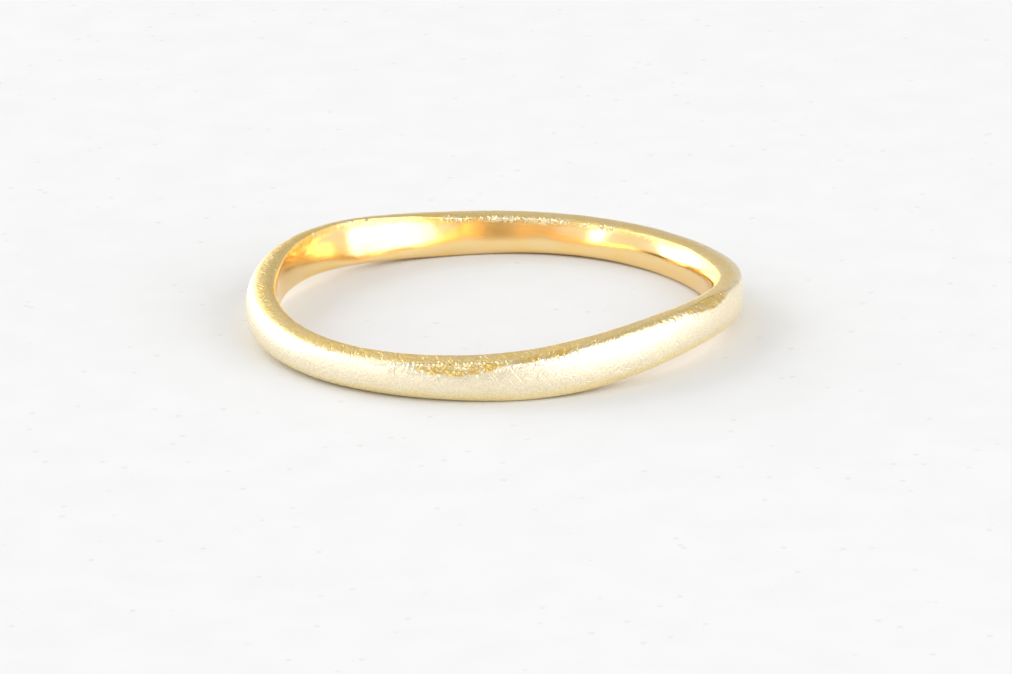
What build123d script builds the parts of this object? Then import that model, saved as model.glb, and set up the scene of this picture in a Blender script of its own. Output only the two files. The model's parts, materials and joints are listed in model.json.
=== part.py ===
"""A slim stacking ring: one hand-forged gold band, lying on its side.

The finger's axis is Z and the origin is the centre of the ring on the table.
Angles run round the finger from +X towards +Y. Lengths are in millimetres.
"""

import os
from collections import namedtuple

from build123d import *

# Driving dimensions
bore_diameter = 17.3  # a US size 7 finger
bore_stock = 0.05  # metal inside the bore that the round mandrel trues away
bore_rounding = 0.30  # broken edge between the finger wall and the underside
heel_rounding = 0.40  # worn lower edge of the outer wall
mandrel_length = 10.0

# The band was forged by eye, so it waves, twists and swells round the finger.
# rise      underside above the table
# height    outer wall, along the finger
# wall      thickness at its fullest
# slope     how much higher the upper rim is at the bore than at its outer edge
# shoulder  how far the rim's outer edge is set in from the fullest thickness
# heel      the same at the underside
# belly     how far up the outer wall is at its fullest, as a share of the height
# rounding  radius of the shoulder
# ease      radius between the upper rim and the bore
# flare     how far the finger wall opens out towards the upper rim
Section = namedtuple(
    "Section", "angle rise height wall slope shoulder heel belly rounding ease flare"
)
SECTIONS = (
    Section(0, 0.27, 1.56, 1.36, -0.05, 0.05, 0.15, 0.50, 0.16, 0.50, 0.26),
    Section(30, 0.00, 1.50, 1.38, 0.00, 0.02, 0.20, 0.50, 0.22, 0.46, 0.24),
    Section(60, 0.03, 1.50, 1.36, 0.00, 0.12, 0.20, 0.50, 0.32, 0.38, 0.20),
    Section(90, 0.00, 1.62, 1.35, 0.05, 0.22, 0.25, 0.50, 0.36, 0.32, 0.18),
    Section(120, 0.17, 1.80, 1.30, 0.10, 0.30, 0.30, 0.50, 0.42, 0.42, 0.30),
    Section(150, 0.52, 1.75, 1.28, 0.10, 0.45, 0.30, 0.50, 0.46, 0.38, 0.26),
    Section(180, 0.41, 1.52, 1.28, 0.10, 0.30, 0.25, 0.50, 0.50, 0.38, 0.15),
    Section(210, 0.16, 1.36, 1.36, 0.14, 0.30, 0.25, 0.50, 0.48, 0.35, 0.06),
    Section(240, 0.06, 1.36, 1.34, 0.20, 0.15, 0.25, 0.45, 0.36, 0.32, 0.05),
    Section(270, 0.00, 1.60, 1.32, 0.18, 0.15, 0.20, 0.35, 0.24, 0.30, 0.05),
    Section(300, 0.26, 1.92, 1.28, -0.05, 0.33, 0.10, 0.22, 0.16, 0.30, 0.05),
    Section(330, 0.62, 1.70, 1.28, -0.12, 0.28, 0.10, 0.28, 0.15, 0.40, 0.08),
)
lap = 3  # sections that each half shares with its neighbour, so that they run on smoothly


def outline(section):
    """One cross-section, drawn in its own plane through the finger's axis."""
    inside = bore_diameter / 2 - bore_stock
    outside = bore_diameter / 2 + section.wall
    top = section.rise + section.height
    fullest = section.rise + section.height * section.belly
    with BuildSketch(Plane.XZ.rotated((0, 0, section.angle))) as profile:
        with BuildLine():
            bore_side = ThreePointArc(
                (inside, section.rise),
                (inside + section.flare / 4, section.rise + (section.height + section.slope) / 2),
                (inside + section.flare, top + section.slope),
            )
            rim = Line(bore_side @ 1, (outside - section.shoulder, top))
            cheek = ThreePointArc(
                rim @ 1, (outside, fullest), (outside - section.heel, section.rise)
            )
            Line(cheek @ 1, bore_side @ 0)
        make_face()
        for corner, radius in (
            (bore_side @ 0, bore_rounding),
            (bore_side @ 1, section.ease),
            (rim @ 1, section.rounding),
            (cheek @ 1, heel_rounding),
        ):
            fillet(profile.vertices().sort_by_distance(corner)[0], radius)
    return profile.sketch


def outlines(first, last):
    """The cross-sections from row first to row last, and the lap beyond each."""
    rows = range(first - lap, last + lap + 1)
    return [outline(SECTIONS[row % len(SECTIONS)]) for row in rows]


half = len(SECTIONS) // 2

# The half on the +Y side, cut off square where it meets the other
with BuildPart() as far_half:
    loft(outlines(0, half))
    split(bisect_by=Plane.XZ, keep=Keep.BOTTOM)

# The whole band, with the finger hole driven through it on a round mandrel
with BuildPart() as band:
    loft(outlines(half, 2 * half))
    split(bisect_by=Plane.XZ, keep=Keep.TOP)
    add(far_half.part)
    Cylinder(bore_diameter / 2, mandrel_length, mode=Mode.SUBTRACT)

band.part.label = "band"

os.makedirs("parts", exist_ok=True)
export_step(band.part, "parts/band.step")

print(f"volume {band.part.volume:.2f} mm3, size {band.part.bounding_box().size}")
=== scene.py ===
"""A slim hand-forged stacking ring in 18 carat gold, lying on a pale table.

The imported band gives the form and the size. This add-on raises that form again as a fine
mesh, works its surface the way a goldsmith does, finishes the gold, and sets the table,
the light and the camera. Lengths are in metres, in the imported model's frame: +Z is up and
the ring's centre on the table is the origin. Angles run round the finger from +X to +Y.
"""

import json
import math
import random
from collections import namedtuple

import bmesh
import bpy
import numpy as np
from mathutils import Matrix, Vector, noise
from mathutils.bvhtree import BVHTree
from mathutils.kdtree import KDTree


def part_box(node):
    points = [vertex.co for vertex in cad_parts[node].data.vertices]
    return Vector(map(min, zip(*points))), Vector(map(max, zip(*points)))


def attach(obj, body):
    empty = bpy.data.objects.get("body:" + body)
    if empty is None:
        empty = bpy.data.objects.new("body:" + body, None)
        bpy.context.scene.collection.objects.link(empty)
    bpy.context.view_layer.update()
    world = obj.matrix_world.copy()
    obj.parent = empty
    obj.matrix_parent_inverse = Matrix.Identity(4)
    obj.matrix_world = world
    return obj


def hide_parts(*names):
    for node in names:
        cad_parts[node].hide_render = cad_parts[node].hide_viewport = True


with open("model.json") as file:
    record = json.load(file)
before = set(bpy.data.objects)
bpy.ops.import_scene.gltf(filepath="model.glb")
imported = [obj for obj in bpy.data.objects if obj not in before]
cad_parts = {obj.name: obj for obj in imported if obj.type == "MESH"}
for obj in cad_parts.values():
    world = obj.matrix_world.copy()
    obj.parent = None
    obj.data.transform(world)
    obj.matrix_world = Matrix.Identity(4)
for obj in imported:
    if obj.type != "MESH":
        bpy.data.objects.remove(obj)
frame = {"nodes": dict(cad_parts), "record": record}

bl_info = {
    "name": "Stacking Ring",
    "version": (1, 0, 0),
    "blender": (4, 5, 0),
    "location": "View3D > Sidebar > Ring",
    "description": "Builds a hand-forged gold stacking ring and a pale table under it",
    "category": "Object",
}

MM = 0.001
MICRON = 0.001 * MM
UP = Vector((0, 0, 1))
REACH = 10 * MM  # well past the band, where a calliper's jaw starts from

BORE = next(m for m in frame["record"]["mounts"] if m["name"] == "finger_bore")
BORE_RADIUS = BORE["dims"]["r_mm"] * MM
BAND_LOW, BAND_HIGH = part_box("band")
OUTSIDE_RADIUS = BAND_HIGH.x

# The band's mean cross-section, from which the blank is drawn. The whole is higher than one
# section, because the band waves
SECTION_PART = 0.7
WALL = OUTSIDE_RADIUS - BORE_RADIUS
HEIGHT = (BAND_HIGH.z - BAND_LOW.z) * SECTION_PART
WALL_MIDDLE = BORE_RADIUS + WALL / 2
EDGE_ROUNDING = 0.3 * MM

# Where each face of the band ends, in mm round the section from the middle of the underside
FLAT = (WALL - 2 * EDGE_ROUNDING) / MM
UPRIGHT = (HEIGHT - 2 * EDGE_ROUNDING) / MM
CORNER = math.pi / 2 * EDGE_ROUNDING / MM
BORE_END = FLAT / 2 + CORNER + UPRIGHT
RIM_START = BORE_END + CORNER
RIM_END = RIM_START + FLAT
WALL_START = RIM_END + CORNER
WALL_END = WALL_START + UPRIGHT
SEAM = math.radians(135)  # where the map's two ends meet, at the back left

# Sizes in the finish: patches where the abrasive bit more or less, its tooth, and the
# crumbs of broken grain. Real tooth is 0.02 mm or less, and real crumbs are finer and
# shallower too, so both are drawn coarser to show. The band's unevenness comes in patches of
# the same size, with finer ones in them
PATCH = 1.5 * MM
FINE_PATCH = PATCH / 4
TOOTH = 0.07 * MM
CRUMB = 0.18 * MM


def linear(hex_colour):
    """An sRGB hex colour as RGBA in linear light."""
    channels = [int(hex_colour[i : i + 2], 16) / 255 for i in (1, 3, 5)]
    light = [c / 12.92 if c <= 0.04045 else ((c + 0.055) / 1.055) ** 2.4 for c in channels]
    return (*light, 1.0)


def add_node(tree, kind, inputs=None, **settings):
    """Adds a node, sets its properties, and sets or links its inputs."""
    node = tree.nodes.new(kind)
    for name, value in settings.items():
        setattr(node, name, value)
    for socket, value in (inputs or {}).items():
        if isinstance(value, bpy.types.NodeSocket):
            tree.links.new(value, node.inputs[socket])
        else:
            node.inputs[socket].default_value = value
    return node


def blank_material(name):
    """A material that holds nothing but its output, and that output."""
    material = bpy.data.materials.new(name)
    material.use_nodes = True
    material.node_tree.nodes.clear()
    return material, add_node(material.node_tree, "ShaderNodeOutputMaterial")


def make_object(name, bm, material):
    """An object of one material in the scene, from a bmesh that is used up."""
    mesh = bpy.data.meshes.new(name)
    bm.to_mesh(mesh)
    bm.free()
    mesh.materials.append(material)
    thing = bpy.data.objects.new(name, mesh)
    bpy.context.collection.objects.link(thing)
    return thing


# ---------------------------------------------------------------- the band's form

STATIONS = 192  # steps round the finger
CORNER_STEPS = 4
WALL_CUTS = 3
LINES = 4 * (CORNER_STEPS + 1 + WALL_CUTS)  # lines of vertices that run round the finger
FOOT_SLACK = 0.001  # radians, so that the line under the middle of the wall always comes first
EASING = 6  # rounds of averaging round the finger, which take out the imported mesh's flats


def spin_blank():
    """A plain ring of the band's mean cross-section, its four edges rounded."""
    bm = bmesh.new()
    # A circle of four segments, turned by 45 degrees, is a square
    square = Matrix.Rotation(math.radians(45), 4, "Z")
    section = Matrix.Diagonal((WALL, HEIGHT, 1, 1)) @ square
    upright = Matrix.Translation((WALL_MIDDLE, 0, 0)) @ Matrix.Rotation(math.radians(90), 4, "X")
    bmesh.ops.create_circle(bm, segments=4, radius=math.sqrt(0.5), matrix=upright @ section)
    bmesh.ops.spin(
        bm,
        geom=bm.verts[:] + bm.edges[:],
        cent=(0, 0, 0),
        axis=UP,
        angle=math.tau,
        steps=STATIONS,
        use_merge=True,
    )
    # Edges that run round the finger are short, and those that cross a wall are long
    half_wall = WALL / 2
    hoops = [e for e in bm.edges if e.calc_length() < half_wall]
    bmesh.ops.bevel(
        bm,
        geom=hoops,
        offset=EDGE_ROUNDING,
        segments=CORNER_STEPS,
        profile=0.5,
        affect="EDGES",
        material=-1,
    )
    walls = [e for e in bm.edges if e.calc_length() > half_wall]
    bmesh.ops.subdivide_edges(bm, edges=walls, cuts=WALL_CUTS, use_grid_fill=True)
    bmesh.ops.recalc_face_normals(bm, faces=bm.faces[:])
    return bm


def angle_of(point):
    """The angle round the finger, from 0 to a full turn."""
    return math.atan2(point.y, point.x) % math.tau


def heading(turn, tilt):
    """The direction that points out of the ring at one angle, tilted up towards +Z."""
    level = math.cos(tilt)
    return Vector((math.cos(turn) * level, math.sin(turn) * level, math.sin(tilt)))


def in_lines(bm):
    """The blank's vertices, a row for each line round the finger, each in order of angle.

    The rows start at the middle of the underside and go up the bore, out over the rim, down
    the outer wall and back under.
    """
    stations = [[] for _ in range(STATIONS)]
    for vert in bm.verts:
        station = round(angle_of(vert.co) / math.tau * STATIONS) % STATIONS
        from_outside = math.atan2(vert.co.z, vert.co.xy.length - WALL_MIDDLE)
        from_foot = (1.5 * math.pi + FOOT_SLACK - from_outside) % math.tau
        stations[station].append((from_foot, vert))
    for station in stations:
        station.sort(key=lambda pair: pair[0])
    return [[vert for _, vert in row] for row in zip(*stations)]


def unroll(bm, lines):
    """Maps the surface in millimetres: along the finger's round, and round the section."""
    layer = bm.loops.layers.uv.new("unrolled")
    girth = [0.0]
    for row, following in zip(lines, lines[1:] + lines[:1]):
        girth.append(girth[-1] + (following[0].co - row[0].co).length / MM)
    round_mm = math.tau * WALL_MIDDLE / MM
    line_of = {vert: i for i, row in enumerate(lines) for vert in row}
    for face in bm.faces:
        rows = [line_of[loop.vert] for loop in face.loops]
        turns = [(angle_of(loop.vert.co) - SEAM) / math.tau % 1 for loop in face.loops]
        # A face over one of the map's joins has corners at both ends of the map
        over_start = max(turns) - min(turns) > 0.5
        over_foot = max(rows) - min(rows) > 1
        for loop, row, turn in zip(face.loops, rows, turns):
            u = turn + 1 if over_start and turn < 0.5 else turn
            v = girth[LINES] if over_foot and row == 0 else girth[row]
            loop[layer].uv = (u * round_mm, v)


def callipers(tree, outward):
    """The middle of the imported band's wall and half its height, where outward points."""
    middle = outward * WALL_MIDDLE
    top = tree.ray_cast(middle + UP * REACH, -UP)[0].z
    foot = tree.ray_cast(middle - UP * REACH, UP)[0].z
    return middle + UP * (top + foot) / 2, (top - foot) / 2


def press(bm, lines):
    """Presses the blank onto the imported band, and eases out that mesh's small flats."""
    cad = bmesh.new()
    cad.from_mesh(frame["nodes"]["band"].data)
    tree = BVHTree.FromBMesh(cad)
    cad.free()
    places = np.zeros((LINES, STATIONS, 2))
    for s in range(STATIONS):
        outward = heading(math.tau * s / STATIONS, 0)
        core, half_height = callipers(tree, outward)
        for i, row in enumerate(lines):
            across = row[s].co.xy.length - WALL_MIDDLE
            along = row[s].co.z * half_height / (HEIGHT / 2)
            met = tree.ray_cast(core, outward * across + UP * along)[0]
            places[i, s] = (met.xy.length, met.z)
    for _ in range(EASING):
        places = (np.roll(places, 1, 1) + 2 * places + np.roll(places, -1, 1)) / 4
    for i, row in enumerate(lines):
        for s, vert in enumerate(row):
            turn = math.tau * s / STATIONS
            radius, height = places[i, s]
            vert.co = (math.cos(turn) * radius, math.sin(turn) * radius, height)


def refine(bm, levels):
    """The same form with each face divided smoothly, as a new bmesh."""
    mesh = bpy.data.meshes.new("cage")
    bm.to_mesh(mesh)
    bm.free()
    cage = bpy.data.objects.new("cage", mesh)
    bpy.context.collection.objects.link(cage)
    smooth = cage.modifiers.new("Subdivision", "SUBSURF")
    smooth.levels = smooth.render_levels = levels
    smooth.uv_smooth = "NONE"
    evaluated = cage.evaluated_get(bpy.context.evaluated_depsgraph_get())
    fine = bpy.data.meshes.new_from_object(evaluated)
    result = bmesh.new()
    result.from_mesh(fine)
    bpy.data.objects.remove(cage)
    bpy.data.meshes.remove(mesh)
    bpy.data.meshes.remove(fine)
    return result


# ---------------------------------------------------------------- the hand work

# A flat left by the file: the way it faces, by its turn and tilt in degrees, and the slope of
# the band's edge there; the depth cut away; how far it runs each way, in degrees of turn; and
# how broken its grain is, from 0 to 1
Facet = namedtuple("Facet", "turn tilt slope depth reach grain")
FACETS = (
    Facet(260, 42, 0, 0.12 * MM, 14, 0.75),
    Facet(284, 66, 6, 0.045 * MM, 14, 0.25),
    Facet(334, 50, 0, 0.13 * MM, 26, 0.50),
)
FACET_EDGE = 0.035 * MM  # the depth over which a facet's cut fades out at its border
SKIP = 0.35 * MM  # between the places where the file skipped over the metal
SKIP_DEPTH = 0.030 * MM
BITE = 0.9  # how fully the file cut between its skips, from 0 to 1

# A run of small marks along one edge: from which turn to which, the tilt that the edge faces,
# all in degrees, how many marks, and a mark's width along the ring, its length over the edge
# and its depth
Marks = namedtuple("Marks", "start end tilt count width length depth")
MARKS = (
    Marks(74, 103, 142, 34, 0.08 * MM, 0.17 * MM, 0.028 * MM),
    Marks(56, 74, 142, 10, 0.08 * MM, 0.14 * MM, 0.018 * MM),
    Marks(244, 254, 42, 11, 0.10 * MM, 0.26 * MM, 0.022 * MM),
    Marks(252, 273, 48, 46, 0.11 * MM, 0.18 * MM, 0.022 * MM),
    Marks(271, 290, 42, 36, 0.11 * MM, 0.17 * MM, 0.018 * MM),
    Marks(290, 310, 44, 10, 0.11 * MM, 0.15 * MM, 0.010 * MM),
    Marks(310, 325, 44, 20, 0.11 * MM, 0.16 * MM, 0.016 * MM),
    Marks(312, 352, 60, 56, 0.11 * MM, 0.18 * MM, 0.013 * MM),
    Marks(110, 250, 125, 14, 0.12 * MM, 0.14 * MM, 0.025 * MM),
    Marks(0, 360, 75, 40, 0.12 * MM, 0.14 * MM, 0.014 * MM),
    Marks(129, 131, 105, 3, 0.16 * MM, 0.20 * MM, 0.050 * MM),
)
SEED = 7  # for where each mark lies
TILT_SPREAD = 10  # degrees that a mark may stray from its run's tilt
LEAN_SPREAD = 0.5  # radians that a mark may lean from the way round the ring
SIZE_SPREAD = (0.7, 1.2)  # of the run's width and length
DEPTH_SPREAD = (0.4, 1.0)  # of the run's depth
GRAIN_DEPTH = 0.018 * MM  # the depth of mark that breaks the grain right open

POLISH_DEPTH = 0.15 * MM  # how far into the wall the polish of the finger wall reached
POLISHED_CUT = 2  # the polish leaves the broad unevenness this many times less deep
FINE_CUT = 3  # the fine unevenness is this many times less deep than the broad

# The polish inside opens the finger wall out above a knee: by the turn in degrees, the
# knee's height over the table in mm and the wall's lean above it in degrees
Taper = namedtuple("Taper", "turn knee lean")
KNEE_BEND = 0.15 * MM  # how gently the wall bends at its knee
TAPERS = (
    Taper(0, 1.43, 52),
    Taper(10, 1.18, 42),
    Taper(18, 1.03, 37),
    Taper(30, 0.88, 35),
    Taper(42, 0.85, 28),
    Taper(50, 0.75, 20),
    Taper(60, 0.50, 14),
    Taper(76, 0.45, 9),
    Taper(98, 0.45, 9),
    Taper(104, 0.50, 12),
    Taper(111, 0.45, 15),
    Taper(130, 0.45, 15),
    Taper(142, 0.85, 13),
    Taper(155, 1.00, 11),
    Taper(170, 1.20, 7),
    Taper(190, 1.30, 3),
    Taper(225, 1.40, 0),
    Taper(310, 1.40, 0),
    Taper(335, 2.00, 50),
    Taper(350, 1.70, 56),
)


def open_out(bm):
    """Opens the finger wall out above its knee, as the polish does."""
    turns = [taper.turn for taper in TAPERS]
    inner = [vert for vert in bm.verts if vert.co.xy.length < WALL_MIDDLE]
    angles = [math.degrees(angle_of(vert.co)) for vert in inner]
    knees = np.interp(angles, turns, [taper.knee * MM for taper in TAPERS], period=360)
    leans = np.interp(angles, turns, [math.radians(t.lean) for t in TAPERS], period=360)
    for vert, knee, lean in zip(inner, knees, leans):
        # The wall is upright below its knee and leans above it, with a soft bend between
        above = (vert.co.z - knee) / KNEE_BEND
        wall = BORE_RADIUS + math.tan(lean) * KNEE_BEND * math.log1p(math.exp(above))
        radius = vert.co.xy.length
        if radius < wall:
            vert.co.xy *= wall / radius


def slices(bm):
    """The band's vertices, grouped by the degree of the turn that they stand at."""
    groups = [[] for _ in range(360)]
    for vert in bm.verts:
        groups[int(math.degrees(angle_of(vert.co))) % 360].append(vert)
    return groups


def foremost(groups, turn, way):
    """Of the vertices near that turn, the one that stands out furthest along a direction."""
    return max(groups[int(math.degrees(turn)) % 360], key=lambda vert: vert.co.dot(way))


def file_facet(groups, facet, filed, broken):
    """Files the shoulder down to a flat, and notes the metal that the file cut."""
    turn, tilt = math.radians(facet.turn), math.radians(facet.tilt)
    along_edge = Matrix.Rotation(math.radians(facet.slope), 3, heading(turn, 0))
    way = along_edge @ heading(turn, tilt)
    level = foremost(groups, turn, way).co.dot(way) - facet.depth
    for degree in range(facet.turn - facet.reach, facet.turn + facet.reach):
        for vert in groups[degree % 360]:
            skipped = noise.noise(vert.co / SKIP)
            above = vert.co.dot(way) - level - SKIP_DEPTH * skipped
            if above > 0:
                cut = min(1, above / FACET_EDGE) * min(1, BITE - skipped)
                vert.co -= way * above
                vert[filed] = max(vert[filed], cut)
                vert[broken] = max(vert[broken], facet.grain * cut)


def mark_edge(bm, groups, tree, run, broken, rng):
    """Presses a run of small marks into one edge of the band."""
    for _ in range(run.count):
        turn = math.radians(rng.uniform(run.start, run.end))
        tilt = math.radians(run.tilt + rng.uniform(-TILT_SPREAD, TILT_SPREAD))
        middle = foremost(groups, turn, heading(turn, tilt))
        inward = -middle.normal
        lean = Matrix.Rotation(rng.uniform(-LEAN_SPREAD, LEAN_SPREAD), 3, inward)
        along = lean @ heading(turn + math.pi / 2, 0)
        size = rng.uniform(*SIZE_SPREAD)
        depth = run.depth * rng.uniform(*DEPTH_SPREAD)
        for place, index, _ in tree.find_range(middle.co, run.length * size):
            off = place - middle.co
            run_off = off.dot(along)
            over = (off - along * run_off).length
            far = math.hypot(run_off / run.width, over / run.length) / size
            if far < 1:
                vert = bm.verts[index]
                dip = 1 - far * far
                vert.co += inward * depth * dip
                vert[broken] = max(vert[broken], dip * min(1, depth / GRAIN_DEPTH))


def planish(bm, depth):
    """Leaves the slight unevenness of work by hand: broad patches, and finer ones."""
    bm.normal_update()
    for vert in bm.verts:
        broad = noise.noise(vert.co / PATCH)
        fine = noise.noise(vert.co / FINE_PATCH)
        polished = vert.co.xy.length < BORE_RADIUS + POLISH_DEPTH
        unevenness = broad / POLISHED_CUT if polished else broad + fine / FINE_CUT
        vert.co += vert.normal * unevenness * depth


def work_by_hand(bm, settings):
    """Everything that the file, the hammer and wear did to the band's form."""
    rng = random.Random(SEED)
    # A new layer moves those before it, so both are looked up once both are there
    for name in ("filed", "broken"):
        bm.verts.layers.float.new(name)
    filed = bm.verts.layers.float["filed"]
    broken = bm.verts.layers.float["broken"]
    bm.verts.ensure_lookup_table()
    open_out(bm)
    groups = slices(bm)
    for facet in FACETS:
        file_facet(groups, facet, filed, broken)
    bm.normal_update()
    tree = KDTree(len(bm.verts))
    for vert in bm.verts:
        tree.insert(vert.co, vert.index)
    tree.balance()
    for run in MARKS:
        mark_edge(bm, groups, tree, run, broken, rng)
    planish(bm, settings.unevenness)


# ---------------------------------------------------------------- the gold

# Strokes left by the abrasive: the way they run on the map in degrees, their rough length,
# their width at half their depth and the spacing between them, all in mm, and a shift that
# sets each family apart. A real stroke is 0.02 mm wide or less, and is drawn at about twice
# that, as coarse as it needs to show
Strokes = namedtuple("Strokes", "lean length width spacing shift")
WALL_STROKES = (
    Strokes(57, 1.0, 0.045, 0.15, 3.1),
    Strokes(-38, 0.9, 0.040, 0.13, 11.7),
    Strokes(-62, 0.7, 0.035, 0.14, 23.9),
    Strokes(20, 1.2, 0.035, 0.20, 37.3),
)
BORE_STROKES = (
    Strokes(1, 2.6, 0.05, 0.22, 51.0),
    Strokes(-2, 1.6, 0.03, 0.16, 67.0),
)
STROKE_LENGTHS = 1.6  # from one stroke's middle to the next along it
BORE_STROKE_PART = 0.06  # the depth of the finger wall's strokes, beside the outer wall's

# Where the brushing of the outer wall and the heel start and are whole, in mm round the
# section. Over the first zone the wall's colour is painted paler, a painted highlight; over
# the second the heel's colour is painted lighter, a painted reflection
BRUSHING_START = RIM_END - 0.25
BRUSHING_WHOLE = RIM_END + 0.2
HEEL_START = WALL_END - 0.2
HEEL_WHOLE = WALL_END + 0.2

NO_TOOTH = 0.5  # the tooth's own mean, for smooth metal
RIM_GRAIN = 0.2  # how broken the grain of the worn rim is, from 0 to 1
KEPT_BRUSHING = 0.1  # how much of the brushing a filed flat keeps
CHIP_PAINTED_GLINT = 0.75  # how far a chip's colour is painted towards the wall's pale colour, a painted glint

# The tooth varies the colour's brightness and the patches its saturation, between these
# parts of its own. Most of a noise's values lie within the first span
NOISE_SPAN = (0.3, 0.7)
BRIGHTNESS_SPAN = (0.90, 1.10)
SATURATION_SPAN = (0.92, 1.08)

RIM_ROUGHNESS = 0.28
BORE_ROUGHNESS = 0.10
BRUSHED_ROUGHNESS = 0.38
PATCH_ROUGHNESS = 0.08  # the most that a patch adds


def stroke_marks(tree, uv, family):
    """Separate strokes of one family: 1 along the middle of each, 0 between them."""
    laid = add_node(
        tree,
        "ShaderNodeMapping",
        {
            "Vector": uv,
            "Location": (family.shift, family.shift, 0),
            "Rotation": (0, 0, math.radians(family.lean)),
            "Scale": (family.length * STROKE_LENGTHS, family.spacing, 1),
        },
        vector_type="TEXTURE",
    )
    cells = add_node(
        tree,
        "ShaderNodeTexVoronoi",
        {"Vector": laid.outputs["Vector"], "Scale": 1.0},
        voronoi_dimensions="2D",
    )
    faded = family.width / family.spacing
    marks = add_node(
        tree,
        "ShaderNodeMapRange",
        {
            "Value": cells.outputs["Distance"],
            "From Max": faded,
            "To Min": 1.0,
            "To Max": 0.0,
        },
        interpolation_type="SMOOTHSTEP",
    )
    return marks.outputs["Result"]


def deepest(tree, marks):
    """Several families of strokes in one: at each place, the one that cut deepest."""
    together = marks[0]
    for mark in marks[1:]:
        both = add_node(tree, "ShaderNodeMath", {0: together, 1: mark}, operation="MAXIMUM")
        together = both.outputs["Value"]
    return together


Masks = namedtuple("Masks", "inside outside low filed broken brushed chipped")


def finish_masks(tree, uv):
    """Where each finish lies, from 0 to 1.

    By the place round the section: inside is the finger wall, outside the outer wall, and low
    the heel and the underside. By the work: filed, broken, still brushed, and chipped, which
    is broken but not filed. Still brushed is also where the wall's colour is painted pale, a
    painted highlight, and low where the heel's is painted lighter, a painted reflection.
    """
    girth = add_node(tree, "ShaderNodeSeparateXYZ", {"Vector": uv}).outputs["Y"]
    inside, outside, low = (
        add_node(
            tree,
            "ShaderNodeMapRange",
            {"Value": girth, "From Min": start, "From Max": end, "To Min": before, "To Max": past},
            interpolation_type="SMOOTHSTEP",
        ).outputs["Result"]
        for start, end, before, past in (
            (BORE_END, RIM_START, 1.0, 0.0),
            (BRUSHING_START, BRUSHING_WHOLE, 0.0, 1.0),
            # the heel's zone, where its colour is painted lighter, a painted reflection
            (HEEL_START, HEEL_WHOLE, 0.0, 1.0),
        )
    )
    filed, broken = (
        add_node(tree, "ShaderNodeAttribute", attribute_name=name).outputs["Fac"]
        for name in ("filed", "broken")
    )
    uncut = add_node(
        tree, "ShaderNodeMapRange", {"Value": filed, "To Min": 1.0, "To Max": KEPT_BRUSHING}
    ).outputs["Result"]
    # brushed sets the brushing's roughness, and also where the wall's colour is painted pale, a
    # painted highlight
    brushed = add_node(
        tree, "ShaderNodeMath", {0: outside, 1: uncut}, operation="MULTIPLY"
    ).outputs["Value"]
    chipped = add_node(
        tree, "ShaderNodeMath", {0: broken, 1: filed}, operation="SUBTRACT", use_clamp=True
    ).outputs["Value"]
    return Masks(inside, outside, low, filed, broken, brushed, chipped)


Noises = namedtuple("Noises", "patches tooth crumbs")


def metal_noises(tree, masks):
    """The patches, the tooth, which the polish took away inside, and the crumbs."""
    place = add_node(tree, "ShaderNodeTexCoord").outputs["Object"]
    patches, tooth, crumbs = (
        add_node(
            tree, "ShaderNodeTexNoise", {"Vector": place, "Scale": 1 / size, "Detail": detail}
        ).outputs["Fac"]
        for size, detail in ((PATCH, 2.0), (TOOTH, 1.0), (CRUMB, 2.0))
    )
    tooth_outside = add_node(
        tree, "ShaderNodeMix", {"Factor": masks.inside, "A": tooth, "B": NO_TOOTH}
    ).outputs["Result"]
    return Noises(patches, tooth_outside, crumbs)


def gold_relief(tree, settings, uv, masks, noises):
    """The strokes, the tooth and the broken grain, as a bump whose heights are in microns."""
    wall_marks = deepest(tree, [stroke_marks(tree, uv, family) for family in WALL_STROKES])
    bore_marks = deepest(tree, [stroke_marks(tree, uv, family) for family in BORE_STROKES])
    bore_cut = add_node(
        tree, "ShaderNodeMath", {0: bore_marks, 1: BORE_STROKE_PART}, operation="MULTIPLY"
    ).outputs["Value"]
    strokes = add_node(
        tree, "ShaderNodeMix", {"Factor": masks.inside, "A": wall_marks, "B": bore_cut}
    ).outputs["Result"]
    not_rim = add_node(
        tree, "ShaderNodeMath", {0: masks.inside, 1: masks.outside}, operation="ADD"
    ).outputs["Value"]
    rim_grain = add_node(
        tree, "ShaderNodeMapRange", {"Value": not_rim, "To Min": RIM_GRAIN, "To Max": 0.0}
    ).outputs["Result"]
    crumbling = add_node(
        tree, "ShaderNodeMath", {0: masks.broken, 1: rim_grain}, operation="MAXIMUM"
    ).outputs["Value"]
    grain = add_node(
        tree, "ShaderNodeMath", {0: noises.crumbs, 1: crumbling}, operation="MULTIPLY"
    ).outputs["Value"]
    height = 0.0
    for pattern, rise in (
        (noises.tooth, settings.tooth_depth),
        (strokes, -settings.stroke_depth),
        (grain, settings.crumb_depth),
    ):
        height = add_node(
            tree,
            "ShaderNodeMath",
            {0: pattern, 1: rise / MICRON, 2: height},
            operation="MULTIPLY_ADD",
        ).outputs["Value"]
    bump = add_node(
        tree, "ShaderNodeBump", {"Height": height, "Strength": 1.0, "Distance": MICRON}
    )
    return bump.outputs["Normal"]


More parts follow.
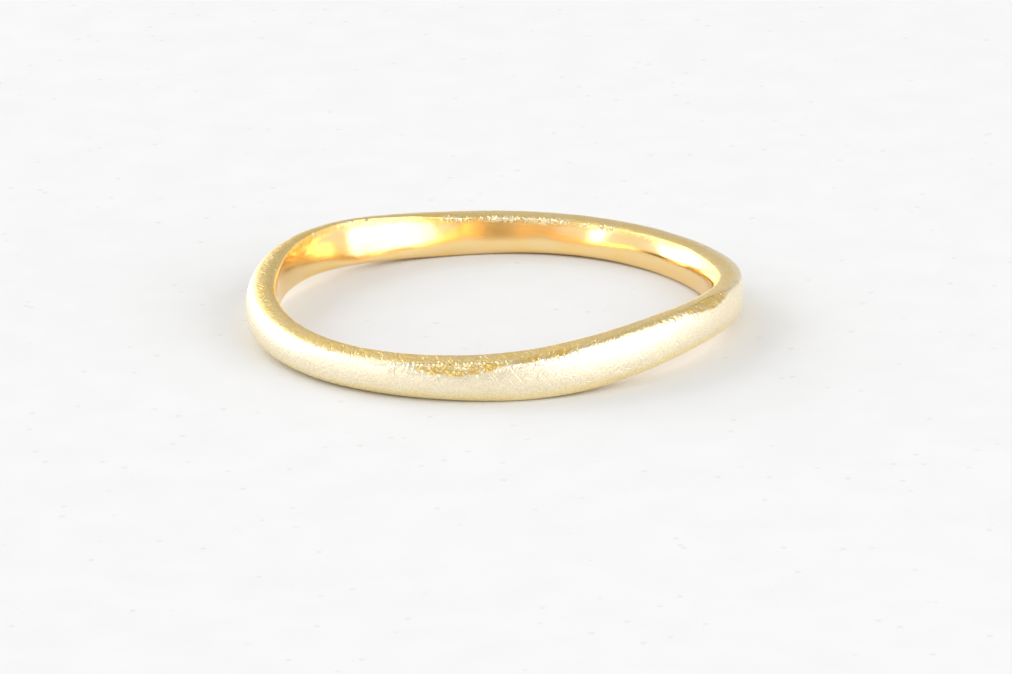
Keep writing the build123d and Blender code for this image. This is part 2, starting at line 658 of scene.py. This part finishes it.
def gold_colour(tree, settings, masks, noises):
    """The rim's colour, with each other finish laid over it in turn, then varied a little.

    The wall's paleness is a painted highlight, the chips' paleness a painted glint, and the
    heel's lighter colour a painted reflection.
    """
    # the chips' colour is painted towards the pale wall colour, a painted glint
    painted_chip_glints = add_node(
        tree, "ShaderNodeMath", {0: masks.chipped, 1: CHIP_PAINTED_GLINT}, operation="MULTIPLY"
    ).outputs["Value"]
    # where the colour is painted pale: the wall's painted highlight and the chips' painted glints
    pale = add_node(
        tree, "ShaderNodeMath", {0: masks.brushed, 1: painted_chip_glints}, operation="MAXIMUM"
    ).outputs["Value"]
    colour = (*settings.rim_colour, 1)
    for cover, finish in (
        (masks.inside, settings.bore_colour),
        (masks.filed, settings.filed_colour),
        (pale, settings.wall_painted_highlight_colour),
        # the heel's colour is painted lighter, a painted reflection
        (masks.low, settings.heel_painted_reflection_colour),
    ):
        colour = add_node(
            tree,
            "ShaderNodeMix",
            {"Factor": cover, "A": colour, "B": (*finish, 1)},
            data_type="RGBA",
        ).outputs["Result"]
    brightness, saturation = (
        add_node(
            tree,
            "ShaderNodeMapRange",
            {
                "Value": pattern,
                "From Min": NOISE_SPAN[0],
                "From Max": NOISE_SPAN[1],
                "To Min": least,
                "To Max": most,
            },
        ).outputs["Result"]
        for pattern, (least, most) in (
            (noises.tooth, BRIGHTNESS_SPAN),
            (noises.patches, SATURATION_SPAN),
        )
    )
    return add_node(
        tree,
        "ShaderNodeHueSaturation",
        {"Color": colour, "Saturation": saturation, "Value": brightness},
    ).outputs["Color"]


def gold_roughness(tree, masks, noises):
    """Matt where brushed or chipped, smoother on the rim, and polished inside."""
    smooth = add_node(
        tree,
        "ShaderNodeMapRange",
        {"Value": masks.inside, "To Min": RIM_ROUGHNESS, "To Max": BORE_ROUGHNESS},
    ).outputs["Result"]
    matt = add_node(
        tree, "ShaderNodeMath", {0: masks.brushed, 1: masks.chipped}, operation="MAXIMUM"
    ).outputs["Value"]
    rough = add_node(
        tree, "ShaderNodeMix", {"Factor": matt, "A": smooth, "B": BRUSHED_ROUGHNESS}
    ).outputs["Result"]
    return add_node(
        tree,
        "ShaderNodeMath",
        {0: noises.patches, 1: PATCH_ROUGHNESS, 2: rough},
        operation="MULTIPLY_ADD",
    ).outputs["Value"]


def gold_material(settings):
    """18 carat gold, cross-brushed by hand: a pale satin outside, a polish inside.

    The outer wall was rubbed with abrasive in many directions, which scatters the light; its
    colour is painted paler than the gold, a painted highlight. The rim is worn smoother, and
    deeper in colour. The finger wall was polished on a mandrel, so it mirrors what it faces.
    The file's flats are smooth and the deepest in colour. Where a mark broke the grain, the
    metal is matt, and its colour is painted paler, a painted glint. The heel's colour is
    painted lighter, a painted reflection.
    """
    material, out = blank_material("gold_18ct_cross_brushed")
    tree = material.node_tree
    uv = add_node(tree, "ShaderNodeUVMap", uv_map="unrolled").outputs["UV"]
    masks = finish_masks(tree, uv)
    noises = metal_noises(tree, masks)
    gold = add_node(
        tree,
        "ShaderNodeBsdfPrincipled",
        {
            "Base Color": gold_colour(tree, settings, masks, noises),
            "Metallic": 1.0,
            "Roughness": gold_roughness(tree, masks, noises),
            "Normal": gold_relief(tree, settings, uv, masks, noises),
        },
    )
    tree.links.new(gold.outputs["BSDF"], out.inputs["Surface"])
    return material


# ---------------------------------------------------------------- the stage

# turn and rise are a thing's direction from the ring in degrees. A softbox's distance, width
# and height are in metres, and its glow is its brightness, where 1 is white
Softbox = namedtuple("Softbox", "name turn rise distance width height glow")
SOFTBOXES = (
    Softbox("softbox_left", 144, 28, 0.5, 0.52, 0.42, 2.0),
    Softbox("softbox_right", 327, 27, 0.5, 0.64, 0.42, 2.15),
    Softbox("softbox_side", 214, 20, 0.5, 0.10, 0.30, 2.4),
)

# A patch of the room's wall with a level of its own: the spill round a softbox, or a dark
# card that puts depth into the metal. Its radius is the angle that it covers, and its edge
# is soft over twice its blur, both in degrees
Patch = namedtuple("Patch", "turn rise radius blur level")
PATCHES = (
    Patch(140, 28, 36, 12, 1.12),
    Patch(214, 20, 9, 7, 1.40),
    Patch(68, 22, 34, 8, 0.58),
    Patch(265, 13, 16, 7, 0.08),
)
PATCH_FADE = (0.02, 0.12)  # the heights between which the patches fade in over the horizon

# The room's own level by height, which is 0 at the horizon and 1 straight above
Tone = namedtuple("Tone", "height level")
HORIZON = Tone(0.10, 0.94)
ROOM = Tone(0.25, 0.95)
OVERHEAD = Tone(0.80, 0.54)

# The table's plaster: the size of its clouds and the spacing of its specks, how far out from
# its middle a speck is whole and is gone, in parts of that spacing, and how strongly it shows
CLOUD = 2.5 * MM
SPECK_SPACING = 1.3 * MM
SPECK_WHOLE, SPECK_GONE = 0.02, 0.14
SPECK_STRENGTH = 0.25
CLOUD_COLOUR = "#E4E4E4"
SPECK_COLOUR = "#B9B6B0"
TABLE_SEGMENTS = 64

# The camera: its lens in mm, the nearest that it sees, and how far it is shifted to its right
# and up, across its line of sight, from the ring's centre
LENS = 266
NEAREST = 10 * MM
CAMERA_RIGHT, CAMERA_UP = 0.473 * MM, -0.585 * MM


def hang_softbox(lamp):
    """A rectangular soft lamp facing the ring."""
    data = bpy.data.lights.new(lamp.name, "AREA")
    data.shape = "RECTANGLE"
    data.size = lamp.width
    data.size_y = lamp.height
    # A flat lamp's brightness is its power over pi times its area
    data.energy = lamp.glow * math.pi * lamp.width * lamp.height
    away = heading(math.radians(lamp.turn), math.radians(lamp.rise))
    box = bpy.data.objects.new(lamp.name, data)
    box.matrix_world = (
        Matrix.Translation(away * lamp.distance)
        @ away.to_track_quat("Z", "Y").to_matrix().to_4x4()
    )
    return box


def grey(level):
    """A level of neutral light as a colour."""
    return (level, level, level, 1.0)


def studio_world():
    """A light horizon that the table runs out to, and a room, dim overhead, with patches."""
    world = bpy.data.worlds.new("studio")
    world.use_nodes = True
    tree = world.node_tree
    tree.nodes.clear()
    out = add_node(tree, "ShaderNodeOutputWorld")
    way = add_node(tree, "ShaderNodeTexCoord").outputs["Generated"]
    height = add_node(tree, "ShaderNodeSeparateXYZ", {"Vector": way}).outputs["Z"]
    room = add_node(tree, "ShaderNodeValToRGB", {"Fac": height})
    stops = room.color_ramp.elements
    stops[0].position, stops[0].color = HORIZON.height, grey(HORIZON.level)
    stops[1].position, stops[1].color = ROOM.height, grey(ROOM.level)
    stops.new(OVERHEAD.height).color = grey(OVERHEAD.level)
    light = room.outputs["Color"]
    raised = add_node(
        tree,
        "ShaderNodeMapRange",
        {"Value": height, "From Min": PATCH_FADE[0], "From Max": PATCH_FADE[1]},
        interpolation_type="SMOOTHSTEP",
    ).outputs["Result"]
    for patch in PATCHES:
        middle = heading(math.radians(patch.turn), math.radians(patch.rise))
        near = add_node(tree, "ShaderNodeVectorMath", {0: way, 1: middle}, operation="DOT_PRODUCT")
        covered = add_node(
            tree,
            "ShaderNodeMapRange",
            {
                "Value": near.outputs["Value"],
                "From Min": math.cos(math.radians(patch.radius + patch.blur)),
                "From Max": math.cos(math.radians(patch.radius - patch.blur)),
                "To Max": raised,
            },
            interpolation_type="SMOOTHSTEP",
        ).outputs["Result"]
        light = add_node(
            tree,
            "ShaderNodeMix",
            {"Factor": covered, "A": light, "B": grey(patch.level)},
            data_type="RGBA",
        ).outputs["Result"]
    air = add_node(tree, "ShaderNodeBackground", {"Color": light})
    tree.links.new(air.outputs["Background"], out.inputs["Surface"])
    return world


def plaster_material(settings):
    """Fine white plaster, trowelled and unpolished: matt, faintly cloudy, a few specks."""
    material, out = blank_material("plaster_white_trowelled")
    tree = material.node_tree
    place = add_node(tree, "ShaderNodeTexCoord").outputs["Object"]
    clouds = add_node(
        tree, "ShaderNodeTexNoise", {"Vector": place, "Scale": 1 / CLOUD, "Detail": 3.0}
    ).outputs["Fac"]
    spread = add_node(
        tree, "ShaderNodeTexVoronoi", {"Vector": place, "Scale": 1 / SPECK_SPACING}
    )
    specks = add_node(
        tree,
        "ShaderNodeMapRange",
        {
            "Value": spread.outputs["Distance"],
            "From Min": SPECK_WHOLE,
            "From Max": SPECK_GONE,
            "To Min": SPECK_STRENGTH,
            "To Max": 0.0,
        },
        interpolation_type="SMOOTHSTEP",
    ).outputs["Result"]
    ground = add_node(
        tree,
        "ShaderNodeMix",
        {"Factor": clouds, "A": linear(CLOUD_COLOUR), "B": (*settings.table_colour, 1)},
        data_type="RGBA",
    ).outputs["Result"]
    speckled = add_node(
        tree,
        "ShaderNodeMix",
        {"Factor": specks, "A": ground, "B": linear(SPECK_COLOUR)},
        data_type="RGBA",
    ).outputs["Result"]
    plaster = add_node(tree, "ShaderNodeBsdfDiffuse", {"Color": speckled})
    tree.links.new(plaster.outputs["BSDF"], out.inputs["Surface"])
    return material


def place_camera(settings):
    """The camera, looking down at the ring from a little above the table."""
    data = bpy.data.cameras.new("camera")
    data.lens = LENS
    data.clip_start = NEAREST
    camera = bpy.data.objects.new("camera", data)
    turn = (
        Matrix.Rotation(math.radians(90) - settings.camera_height, 4, "X")
        @ Matrix.Rotation(settings.camera_tilt, 4, "Z")
    )
    stand = turn @ Vector((CAMERA_RIGHT, CAMERA_UP, settings.camera_distance))
    camera.matrix_world = Matrix.Translation(stand) @ turn
    return camera


# ---------------------------------------------------------------- settings


def colour_setting(name, description, hex_colour):
    """A colour that the user may change, from its sRGB hex value."""
    return bpy.props.FloatVectorProperty(
        name=name,
        description=description,
        subtype="COLOR",
        default=linear(hex_colour)[:3],
        min=0.0,
        max=1.0,
    )


class RingBandSettings(bpy.types.PropertyGroup):
    """How the band is worked and finished."""

    fineness: bpy.props.IntProperty(
        name="Fineness",
        description="How many times each face of the blank is divided",
        default=2,
        min=1,
        max=2,
    )
    unevenness: bpy.props.FloatProperty(
        name="Unevenness",
        description="How far the hand work leaves the surface from true",
        default=0.010 * MM,
        unit="LENGTH",
        precision=6,
    )
    stroke_depth: bpy.props.FloatProperty(
        name="Stroke depth",
        description="Depth of the abrasive's strokes on the outer wall",
        default=7.0 * MICRON,
        unit="LENGTH",
        precision=6,
    )
    tooth_depth: bpy.props.FloatProperty(
        name="Tooth depth",
        description="Depth of the fine tooth that the abrasive leaves between its strokes",
        default=4.0 * MICRON,
        unit="LENGTH",
        precision=6,
    )
    crumb_depth: bpy.props.FloatProperty(
        name="Crumb depth",
        description="Depth of the broken grain at the file's flats and the marks",
        default=110.0 * MICRON,
        unit="LENGTH",
        precision=6,
    )
    # painted highlight: the wall's colour is painted paler than the gold
    wall_painted_highlight_colour: colour_setting("Wall colour", "Colour of the brushed outer wall", "#FCEFD2")
    # painted reflection: the heel's colour is painted lighter than the gold
    heel_painted_reflection_colour: colour_setting("Heel colour", "Colour of the lower edge and underside", "#FFECBC")
    rim_colour: colour_setting("Rim colour", "Colour of the rim that shows above", "#FADB90")
    filed_colour: colour_setting("Facet colour", "Colour of the file's flats", "#FAD47C")
    bore_colour: colour_setting("Finger wall colour", "Colour of the polish inside", "#FFDE9E")


class RingStageSettings(bpy.types.PropertyGroup):
    """The table, the light and the camera."""

    table_radius: bpy.props.FloatProperty(
        name="Table radius",
        description="Radius of the round table top",
        default=2.0,
        unit="LENGTH",
    )
    table_colour: colour_setting("Table colour", "Colour of the plaster", "#EAEAEA")
    camera_height: bpy.props.FloatProperty(
        name="Camera height",
        description="Angle of the camera above the table",
        default=math.radians(18.8),
        subtype="ANGLE",
    )
    camera_tilt: bpy.props.FloatProperty(
        name="Camera tilt",
        description="How far the camera is turned about its own line of sight",
        default=math.radians(-1.35),
        subtype="ANGLE",
    )
    camera_distance: bpy.props.FloatProperty(
        name="Camera distance",
        description="From the camera to the ring's centre, along its line of sight",
        default=0.3,
        unit="LENGTH",
    )


# ---------------------------------------------------------------- operators


class RING_OT_band(bpy.types.Operator):
    """Make the gold band"""

    bl_idname = "ring.make_band"
    bl_label = "Make the band"

    def execute(self, context):
        settings = context.scene.ring_band
        bm = spin_blank()
        lines = in_lines(bm)
        unroll(bm, lines)
        press(bm, lines)
        bm = refine(bm, settings.fineness)
        work_by_hand(bm, settings)
        bmesh.ops.recalc_face_normals(bm, faces=bm.faces[:])
        for face in bm.faces:
            face.smooth = True
        band = make_object("gold_band", bm, gold_material(settings))
        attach(band, "root")
        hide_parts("band")
        return {"FINISHED"}


class RING_OT_stage(bpy.types.Operator):
    """Set the table, the light and the camera"""

    bl_idname = "ring.make_stage"
    bl_label = "Set the stage"

    def execute(self, context):
        settings = context.scene.ring_stage
        scene = context.scene
        scene.view_settings.view_transform = "Standard"

        bm = bmesh.new()
        bmesh.ops.create_circle(
            bm, cap_ends=True, segments=TABLE_SEGMENTS, radius=settings.table_radius
        )
        table = make_object("table", bm, plaster_material(settings))

        scene.world = studio_world()
        for lamp in SOFTBOXES:
            scene.collection.objects.link(hang_softbox(lamp))

        scene.camera = place_camera(settings)
        scene.collection.objects.link(scene.camera)
        return {"FINISHED"}


class RING_PT_panel(bpy.types.Panel):
    """The ring's operators and settings"""

    bl_label = "Stacking Ring"
    bl_idname = "RING_PT_panel"
    bl_space_type = "VIEW_3D"
    bl_region_type = "UI"
    bl_category = "Ring"

    def draw(self, context):
        for group in (context.scene.ring_band, context.scene.ring_stage):
            box = self.layout.box()
            for name in group.__annotations__:
                box.prop(group, name)
        self.layout.operator(RING_OT_band.bl_idname)
        self.layout.operator(RING_OT_stage.bl_idname)


CLASSES = (RingBandSettings, RingStageSettings, RING_OT_band, RING_OT_stage, RING_PT_panel)


def register():
    for cls in CLASSES:
        bpy.utils.register_class(cls)
    bpy.types.Scene.ring_band = bpy.props.PointerProperty(type=RingBandSettings)
    bpy.types.Scene.ring_stage = bpy.props.PointerProperty(type=RingStageSettings)


def unregister():
    del bpy.types.Scene.ring_band
    del bpy.types.Scene.ring_stage
    for cls in reversed(CLASSES):
        bpy.utils.unregister_class(cls)


def main():
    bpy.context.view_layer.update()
    register()
    bpy.ops.ring.make_band()
    bpy.ops.ring.make_stage()


if __name__ == "__main__":
    main()
